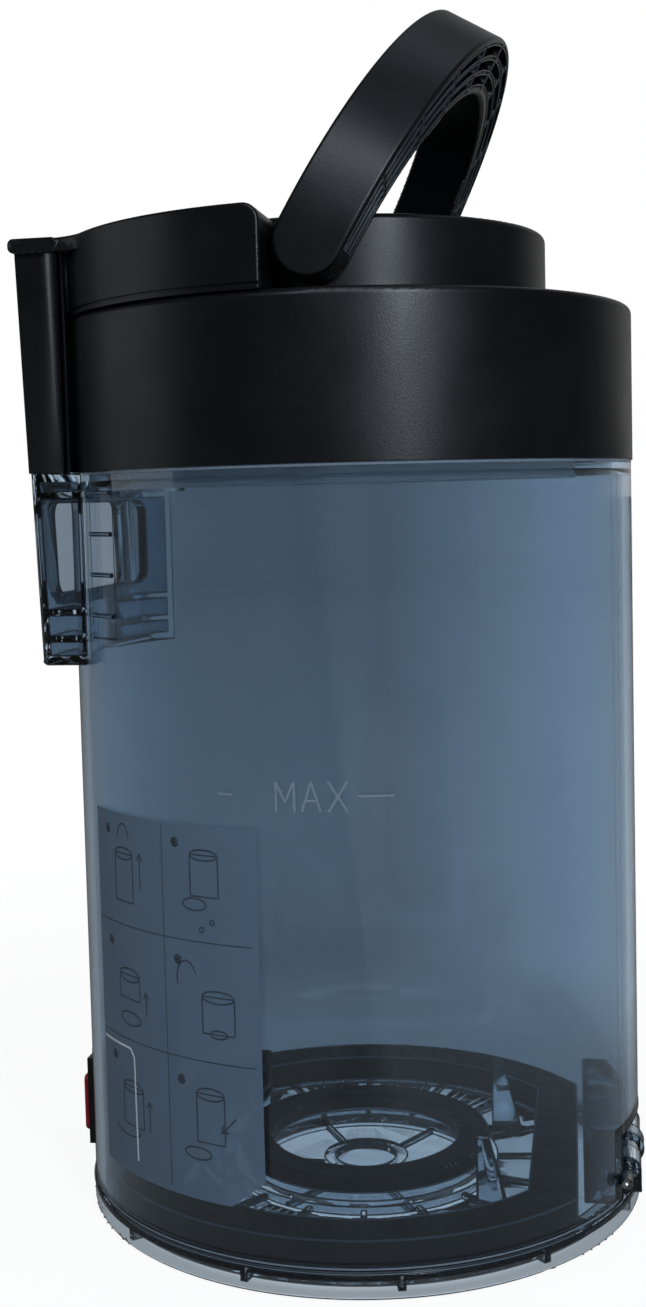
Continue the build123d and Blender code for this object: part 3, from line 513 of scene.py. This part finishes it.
flat = add_node(stroke_tree, "ShaderNodeCombineXYZ", {"X": spot.outputs["X"], "Y": spot.outputs["Y"]})
length = add_node(stroke_tree, "ShaderNodeVectorMath", {0: flat.outputs[0]}, operation="LENGTH")
radius = length.outputs["Value"]
out = add_node(stroke_tree, "ShaderNodeMath", {0: radius, 1: size["Wall"]}, operation="SUBTRACT")
thin = add_node(
    stroke_tree,
    "ShaderNodeMath",
    {0: out.outputs[0], 1: size["Proud"], 2: size["Wall"]},
    operation="MULTIPLY_ADD",
)
pull = add_node(stroke_tree, "ShaderNodeMath", {0: thin.outputs[0], 1: radius}, operation="DIVIDE")
spread = add_node(
    stroke_tree,
    "ShaderNodeVectorMath",
    {0: flat.outputs[0], "Scale": pull.outputs[0]},
    operation="SCALE",
)
upright = add_node(stroke_tree, "ShaderNodeCombineXYZ", {"Z": spot.outputs["Z"]})
pressed = add_node(
    stroke_tree,
    "ShaderNodeVectorMath",
    {0: spread.outputs[0], 1: upright.outputs[0]},
    operation="ADD",
)
line = add_node(
    stroke_tree,
    "GeometryNodeSetPosition",
    {"Geometry": line.outputs[0], "Position": pressed.outputs[0]},
)
line = add_node(stroke_tree, "GeometryNodeRealizeInstances", {"Geometry": line.outputs[0]})
line = add_node(
    stroke_tree,
    "GeometryNodeSetMaterial",
    {"Geometry": line.outputs[0], "Material": size["Finish"]},
)
add_node(stroke_tree, "NodeGroupOutput", {"Geometry": line.outputs[0]})


def wall_strokes(name, lines, wall, width, finish, step=0.0008):
    """Strokes on the bin's wall along lines of points, given as angle in degrees and height in mm."""
    points = [(wall * cos(radians(a)), wall * sin(radians(a)), z / 1000) for line in lines for a, z in line]
    edges = []
    first = 0
    for line in lines:
        edges += [(first + k, first + k + 1) for k in range(len(line) - 1)]
        first += len(line)
    paths = bpy.data.meshes.new(name + "_paths")
    paths.from_pydata(points, edges, [])
    sizes = {"Wall": wall, "Width": width, "Step": step, "Proud": 0.12, "Finish": finish}
    piece = made_of_nodes(name, stroke_tree, paths, sizes)
    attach(piece, "bin")


# Frosted plastic: scatters light, so the mark is paler than the clear wall round it; the same finish also
# paints the highlights on the wall's foot and shoulder. The real grit is about 0.1 mm; it is drawn at 0.6 mm
# so that it shows.
frosted_mark_and_painted_glint = patchy_finish(
    "frosted_san_mark_and_painted_glint",
    ("#8ea2b5", "#b3c2d0"),
    patch_size=0.0006,
    detail=3.0,
    looks={"Roughness": 0.6, "IOR": 1.57, "Alpha": 0.45},
)

bin_outside = 0.0746
degrees_per_mm = 180 / pi / (bin_outside * 1000)
letter_height = 7.0
letter_width = 4.4
letter_pitch = 6.2
mark_first = -95.8
mark_foot = 116.5
letters = (
    [[(0, 0), (0, 1), (0.5, 0.3), (1, 1), (1, 0)]],
    [[(0, 0), (0.5, 1), (1, 0)], [(0.2, 0.36), (0.8, 0.36)]],
    [[(0, 0), (1, 1)], [(0, 1), (1, 0)]],
)
mark = []
for k, letter in enumerate(letters):
    for stroke in letter:
        across = [(k * letter_pitch + u * letter_width) * degrees_per_mm for u, v in stroke]
        heights = [mark_foot + v * letter_height for u, v in stroke]
        mark.append([(mark_first + turn, height) for turn, height in zip(across, heights)])
mark_middle = mark_foot + letter_height / 2
for first, last in ((-81.0, -74.6), (-107.0, -104.0)):
    mark.append([(first, mark_middle), (last, mark_middle)])
mark_width = 0.0006
wall_strokes("max_mark", mark, bin_outside, mark_width, frosted_mark_and_painted_glint)

mould_turn = -18.5
mould_line = [(mould_turn, 24.0), (mould_turn, 195.0)]
mould_width = 0.0004
wall_strokes("mould_line", [mould_line], bin_outside, mould_width, frosted_mark_and_painted_glint)

# Painted highlights: pale strokes where the wall's polished foot catches the light, from the hinge to the
# latch, and where its shoulder under the collar does, from one side of the duct to the other.
foot_height = 7.9
foot = [[(side * turn, foot_height) for turn in range(22, 162)] for side in (-1, 1)]
foot_width = 0.0005
wall_strokes("wall_foot_painted_highlight", foot, bin_outside, foot_width, frosted_mark_and_painted_glint)
shoulder_height = 196.0
shoulder = [[(turn, shoulder_height) for turn in range(-146, 147)]]
shoulder_width = 0.0007
wall_strokes("wall_shoulder_painted_highlight", shoulder, bin_outside, shoulder_width, frosted_mark_and_painted_glint)


# Ribs beside the duct: a ladder of small half-round ribs between two fine upright ribs, moulded
# with the bin, that stiffens the corner between the duct's near side and the round wall.
rib_tree, size = node_group(
    "row_of_ribs",
    (
        ("Start", "NodeSocketVector"),
        ("Pitch", "NodeSocketVector"),
        ("Count", "NodeSocketInt"),
        ("Turn", "NodeSocketVector"),
        ("Radius", "NodeSocketFloat"),
        ("Length", "NodeSocketFloat"),
        ("Finish", "NodeSocketMaterial"),
    ),
)
row = add_node(
    rib_tree,
    "GeometryNodeMeshLine",
    {"Count": size["Count"], "Start Location": size["Start"], "Offset": size["Pitch"]},
    mode="OFFSET",
)
rib = add_node(
    rib_tree,
    "GeometryNodeMeshCylinder",
    {"Vertices": 16, "Radius": size["Radius"], "Depth": size["Length"]},
)
ribs = add_node(
    rib_tree,
    "GeometryNodeInstanceOnPoints",
    {"Points": row.outputs[0], "Instance": rib.outputs[0], "Rotation": size["Turn"]},
)
ribs = add_node(rib_tree, "GeometryNodeRealizeInstances", {"Geometry": ribs.outputs[0]})
ribs = add_node(
    rib_tree,
    "GeometryNodeSetMaterial",
    {"Geometry": ribs.outputs[0], "Material": size["Finish"]},
)
add_node(rib_tree, "NodeGroupOutput", {"Geometry": ribs.outputs[0]})


def row_of_ribs(name, sizes, finish):
    """A row of like half-sunk round ribs on the bin."""
    start = bpy.data.meshes.new(name + "_start")
    piece = made_of_nodes(name, rib_tree, start, {"Finish": finish, **sizes})
    piece.data.shade_smooth()
    piece.data.set_sharp_from_angle(angle=radians(40))
    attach(piece, "bin")


ladder_turn = -137.4
ladder_half = 5
ladder_foot = 155.0
ladder_top = 194.5
lowest_rib = 0.1607
ladder_middle = radians(ladder_turn)
ladder = {
    "Start": (bin_outside * cos(ladder_middle), bin_outside * sin(ladder_middle), lowest_rib),
    "Pitch": (0.0, 0.0, 0.0101),
    "Count": 4,
    "Turn": (pi / 2, 0.0, ladder_middle),
    "Radius": 0.0006,
    "Length": 0.0116,
}
row_of_ribs("duct_ribs", ladder, smoky_san)
# The two upright ribs and the rail across their foot are drawn only as dark strokes of painted edge shade.
ladder_sides = (ladder_turn - ladder_half, ladder_turn + ladder_half)
rails = [[(turn, ladder_foot), (turn, ladder_top)] for turn in ladder_sides]
rails.append([(ladder_sides[0] + k, ladder_foot) for k in range(2 * ladder_half + 1)])
rail_width = 0.0004
wall_strokes("duct_rails", rails, bin_outside, rail_width, painted_edge_shade)


# Collar, hub cover and dock housing: the bin's black head, three ABS mouldings with a fine
# spark-eroded grain. The hub is screwed to the collar from below, the dock block is snapped round it.

# Grained black ABS: deep black with a soft sheen, broken up by the grain and soft at the edges. The
# real grain is about 0.15 mm; it is drawn at 0.45 mm so that it shows.
grain_size = 0.00045
sheen_size = 0.025
edge_round = 0.00025
black_abs, tree = bare_finish("black_abs_fine_grain")
place = add_node(tree, "ShaderNodeTexCoord").outputs["Object"]
grain = add_node(tree, "ShaderNodeTexNoise", {"Vector": place, "Scale": 1 / grain_size, "Detail": 2.0})
sheen = add_node(tree, "ShaderNodeTexNoise", {"Vector": place, "Scale": 1 / sheen_size, "Detail": 5.0})
satin = add_node(
    tree,
    "ShaderNodeMapRange",
    {"Value": sheen.outputs[0], "From Min": 0.3, "From Max": 0.7, "To Min": 0.3, "To Max": 0.4},
)
shade = add_node(
    tree,
    "ShaderNodeMix",
    {0: sheen.outputs[0], first_colour: linear("#06080c"), second_colour: linear("#0c0f14")},
    data_type="RGBA",
)
rounded = add_node(tree, "ShaderNodeBevel", {"Radius": edge_round}, samples=4)
pebble = add_node(
    tree,
    "ShaderNodeBump",
    {"Strength": 0.35, "Distance": 0.00006, "Height": grain.outputs[0], "Normal": rounded.outputs[0]},
)
skin = add_node(
    tree,
    "ShaderNodeBsdfPrincipled",
    {
        "Base Color": shade.outputs[mixed_colour],
        "Roughness": satin.outputs[0],
        "IOR": 1.5,
        "Normal": pebble.outputs[0],
    },
)
add_node(tree, "ShaderNodeOutputMaterial", {"Surface": skin.outputs[0]})

dress("collar", "black_collar", "bin", black_abs)
dress("hub_cover", "black_hub", "bin", black_abs)
dress("dock_housing", "black_dock", "bin", black_abs)

# Small grip beads stand in a row at each end of the dock's lip.
lip_front = -0.0755
lip_end = 0.0405
lip_middle = 0.2519
for side, hand in ((-1, "near"), (1, "far")):
    beads = {
        "Start": (lip_front, side * lip_end, lip_middle),
        "Pitch": (0.0022, 0.0, 0.0),
        "Count": 3,
        "Turn": (pi / 2, 0.0, 0.0),
        "Radius": 0.0005,
        "Length": 0.0018,
    }
    row_of_ribs(hand + "_lip_beads", beads, black_abs)


# Handle: a half ring in the same black ABS, cored out from below into ribbed channels so that it
# stays light. Its two legs turn on steel pins in the hub.
dress("handle", "black_handle", "handle", black_abs)

# Painted highlights: pale grey beads along the ribs' edges stand in for the thin lines of light that they
# catch.
rib_edge_highlight = patchy_finish(
    "black_abs_painted_edge_highlight",
    ("#2c3238", "#4a5158"),
    patch_size=0.01,
    detail=4.0,
    looks={"IOR": 1.5},
    rough=(0.25, 0.4),
)
rib_edge = 0.00022
edge_beads("handle", "handle_rib_painted_highlights", "handle", rib_edge, rib_edge_highlight)


# Seals and gaskets: soft black nitrile rubber, pressed in heated moulds. The neck seal lies loose
# under the collar's rib, the two port frames are glued on, and the lid's two rings are pushed on.

# Moulded rubber: matt black, with a dusty bloom in patches. The real skin is finer than the 0.6 mm
# at which it is drawn so that it shows.
black_rubber = patchy_finish(
    "black_nitrile_rubber",
    ("#050607", "#0c0e10"),
    patch_size=0.006,
    detail=6.0,
    looks={"IOR": 1.52},
    rough=(0.55, 0.75),
    grain=(0.0006, 0.00008),
)
dress("collar_seal", "neck_seal", "bin", black_rubber)
dress("inlet_gasket", "inlet_frame_seal", "bin", black_rubber)
dress("outlet_gasket", "outlet_frame_seal", "bin", black_rubber)
dress("lid_seal", "lid_lip_seal", "lid", black_rubber)
dress("ring_gasket", "centre_ring_seal", "lid", black_rubber)

# Painted highlights: the lips' edges are drawn smoother and pale grey, for the light that they catch.
lip_highlight_rubber = patchy_finish(
    "nitrile_rubber_painted_lip_highlight",
    ("#58636e", "#8b969f"),
    patch_size=0.012,
    detail=4.0,
    looks={"Roughness": 0.4, "IOR": 1.52},
)
lip_edge = 0.0003
edge_beads("lid_seal", "lid_seal_lips", "lid", lip_edge, lip_highlight_rubber)
edge_beads("ring_gasket", "ring_seal_lips", "lid", lip_edge, lip_highlight_rubber)


# Bottom lid: the clear floor of the bin, one moulding in a paler clear plastic with its rim,
# double wall, ribs, fins and hinge knuckles. It turns on a steel pin and drops open when unlatched.

# Pale polished SAN: glassy, with less tint than the bin, so the table's white shows through.
pale_san = clear_finish("pale_clear_san_polished", ("#bac9d5", "#c5d3de"))
dress("bottom_lid", "clear_lid", "lid", pale_san)
# The lid's edges get the same beads of painted edge shade.
lid_edge = 0.00028
edge_beads("bottom_lid", "clear_lid_edges", "lid", lid_edge, painted_edge_shade)


# Pins, screws, spring and mesh screen: stainless steel, drawn as wire, turned or punched from
# sheet. The pins are pressed into the bin's ears and the hub, and the screen lies in the cup.

# Drawn steel: bright grey, with fine marks that break up its reflections. The real marks are finer
# than the 0.8 mm at which they are drawn so that they show.
bright_steel = patchy_finish(
    "drawn_stainless_steel",
    ("#a9abac", "#c6c8c8"),
    patch_size=0.0008,
    detail=3.0,
    looks={"Metallic": 1.0},
    rough=(0.22, 0.38),
)
for node, name in (
    ("handle_pin_near", "near_pivot_pin"),
    ("handle_pin_far", "far_pivot_pin"),
    ("hinge_pin", "lid_hinge_pin"),
    ("latch_pin", "latch_pivot_pin"),
    ("cover_screws", "hub_screws"),
    ("mesh_screen", "steel_screen"),
):
    dress(node, name, "bin", bright_steel)

# The leaf's foot stays in the bin's pocket; the leaf is left fixed in its place and joins no body.
leaf = moulded_copy("latch_spring", "latch_leaf")
leaf.data.materials.append(bright_steel)
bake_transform(leaf)
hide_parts("latch_spring")


# Filter stack: a moulded grey ABS cup under the hub holds a foam disc cut from sheet and a pleated
# paper filter in a moulded frame. They lie loose on each other and come out for cleaning.

# Matt ABS: pale grey and even. Its real grain is finer than the 0.5 mm at which it is drawn.
grey_abs = patchy_finish(
    "grey_abs_matt",
    ("#e2e6ea", "#eceff2"),
    patch_size=0.02,
    detail=4.0,
    looks={"Roughness": 0.55, "IOR": 1.5},
    grain=(0.0005, 0.00006),
)
dress("filter_carrier", "grey_filter_cup", "bin", grey_abs)
dress("filter_frame", "grey_filter_frame", "bin", grey_abs)

# Open-cell foam: paler struts with no shine; the dark in the pores between them is painted shade.
cell_size = 0.0018
pur_foam, tree = bare_finish("open_cell_pur_foam")
place = add_node(tree, "ShaderNodeTexCoord").outputs["Object"]
cells = add_node(tree, "ShaderNodeTexVoronoi", {"Vector": place, "Scale": 1 / cell_size})
depth = cells.outputs["Distance"]
shade = add_node(
    tree,
    "ShaderNodeMix",
    {0: depth, first_colour: linear("#15171a"), second_colour: linear("#34383d")},
    data_type="RGBA",
)
pores = add_node(tree, "ShaderNodeBump", {"Strength": 0.9, "Distance": 0.0005, "Height": depth})
skin = add_node(
    tree,
    "ShaderNodeBsdfPrincipled",
    {"Base Color": shade.outputs[mixed_colour], "Roughness": 0.95, "IOR": 1.45, "Normal": pores.outputs[0]},
)
add_node(tree, "ShaderNodeOutputMaterial", {"Surface": skin.outputs[0]})
dress("foam_filter", "foam_disc", "bin", pur_foam)

# Glass-fibre paper: off-white and dull, with a felted nap.
fibre_size = 0.0012
pleat_paper, tree = bare_finish("pleated_glass_fibre_paper")
place = add_node(tree, "ShaderNodeTexCoord").outputs["Object"]
fibres = add_node(tree, "ShaderNodeTexNoise", {"Vector": place, "Scale": 1 / fibre_size, "Detail": 6.0})
shade = add_node(
    tree,
    "ShaderNodeMix",
    {0: fibres.outputs[0], first_colour: linear("#d9d9d3"), second_colour: linear("#f0f0ea")},
    data_type="RGBA",
)
nap = add_node(tree, "ShaderNodeBump", {"Strength": 0.5, "Distance": 0.0001, "Height": fibres.outputs[0]})
skin = add_node(
    tree,
    "ShaderNodeBsdfPrincipled",
    {"Base Color": shade.outputs[mixed_colour], "Roughness": 0.9, "IOR": 1.45, "Normal": nap.outputs[0]},
)
add_node(tree, "ShaderNodeOutputMaterial", {"Surface": skin.outputs[0]})
dress("pleated_filter", "paper_pleats", "bin", pleat_paper)


# Latch: a moulded black lever with a hook nose, which turns on a steel pin in the bin's pocket and
# holds the lid's catch. A red button of the same plastic is clipped on its plate.
dress("latch_lever", "dark_latch_lever", "latch", black_abs)

# Semi-gloss red ABS: strong colour, rubbed a little brighter and smoother in places.
red_abs = patchy_finish(
    "red_abs_semi_gloss",
    ("#a81d25", "#bb2830"),
    patch_size=0.008,
    detail=4.0,
    looks={"IOR": 1.52},
    rough=(0.28, 0.4),
)
dress("release_button", "red_release_button", "latch", red_abs)


# Label: a grey polyester film, printed and die-cut with one corner off, stuck on the bin's wall.
# It holds six fields of simple pictures, with fine lines between them.

# Polyester film: a little see-through and satin, close in tone to the wall round it.
label_film = patchy_finish(
    "grey_polyester_film",
    ("#61778e", "#6e849a"),
    patch_size=0.03,
    detail=3.0,
    looks={"Roughness": 0.35, "IOR": 1.5, "Alpha": 0.75},
)
dress("instruction_label", "label_sheet", "bin", label_film)

# Screen ink: dull and dark, a little worn. A pale stroke on the film along the pocket's edge under it
# is a painted highlight.
ink_and_glint_looks = {"patch_size": 0.004, "detail": 4.0, "looks": {"Roughness": 0.5, "IOR": 1.5}}
dark_ink = patchy_finish("dark_screen_ink", ("#28323c", "#45525e"), **ink_and_glint_looks)
painted_glint_film = patchy_finish("polyester_film_painted_glint", ("#c0cdd6", "#dde6ec"), **ink_and_glint_looks)

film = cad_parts["instruction_label"].data
film_outside = max(corner.co.to_2d().length for corner in film.vertices)


def box(u, v, wide, high):
    """A square-cornered outline, in mm from a field's middle."""
    corners = ((-1, -1), (1, -1), (1, 1), (-1, 1), (-1, -1))
    return [(u + x * wide / 2, v + y * high / 2) for x, y in corners]


def oval(u, v, wide, high, first=0, last=360):
    """An oval or a part of one, in mm from a field's middle."""
    turns = [radians(first + (last - first) * k / 16) for k in range(17)]
    return [(u + wide / 2 * cos(t), v + high / 2 * sin(t)) for t in turns]


def arrow(u, v, du, dv):
    """A straight arrow with an open head, in mm from a field's middle."""
    head_length = 1.8
    head_slope = 0.6
    tip = Vector((u + du, v + dv))
    back = Vector((-du, -dv)).normalized() * head_length
    across = Vector((-back.y, back.x)) * head_slope
    return [[(u, v), tuple(tip)], [tuple(tip + back + across), tuple(tip), tuple(tip + back - across)]]


pictures = (
    [box(-1, -1, 8, 12), oval(-1, 5, 8, 3), oval(-1, 9, 5, 7, 0, 180)] + arrow(6, -3, 0, 9),
    [box(0, 3, 8, 10), oval(0, 8, 8, 2.6), oval(-3, -4, 7, 3)]
    + [oval(2, -8, 1.4, 1.4), oval(-1, -10, 1.4, 1.4)],
    [oval(0, 3, 9, 3.4), box(0, 0, 9, 6), oval(0, -8, 9, 3.4)] + arrow(7, -6, 0, 6),
    [box(3, -2, 9, 9), oval(3, 2.5, 9, 3), oval(-6, 6, 6, 9, 20, 200), oval(3, -6.5, 5, 2)],
    [box(0, -1, 9, 10), oval(0, 4, 9, 3), oval(-3, -7, 12, 4, 180, 360)] + arrow(7, -6, 0, 8),
    [box(0, 2, 8, 12), oval(0, 8, 8, 3), oval(-4, -7, 8, 3)] + arrow(7, 3, -4, -4),
)
column_turns = (-131.6, -110.6)
row_heights = (97.0, 68.5, 39.0)
dot = oval(-8.5, 10.5, 0.9, 0.9)
prints = []
dots = []
for k, picture in enumerate(pictures):
    turn = column_turns[k % 2]
    height = row_heights[k // 2]
    prints += [[(turn + u * degrees_per_mm, height + v) for u, v in line] for line in picture]
    dots.append([(turn + u * degrees_per_mm, height + v) for u, v in dot])
picture_width = 0.00042
wall_strokes("label_pictures", prints, film_outside, picture_width, dark_ink)
dot_width = 0.0016
dot_step = 0.0002
wall_strokes("label_dots", dots, film_outside, dot_width, dark_ink, dot_step)

middle_turn = -120.5
left_turn = -142.8
fields = [[(middle_turn, 22.0), (middle_turn, 111.0)]]
for height in (84.0, 55.0):
    fields.append([(left_turn + k, height) for k in range(43)])
field_width = 0.00028
wall_strokes("label_fields", fields, film_outside, field_width, dark_ink)

# Painted highlight: a pale stroke on the film along the pocket's edge, where the wall bends sharply.
sharp_bend = [(-143.0 + k, 52.7) for k in range(12)] + [(-130.8, 50.7), (-130.5, 24.5)]
glint_width = 0.0007
wall_strokes("label_painted_glint", [sharp_bend], film_outside, glint_width, painted_glint_film)
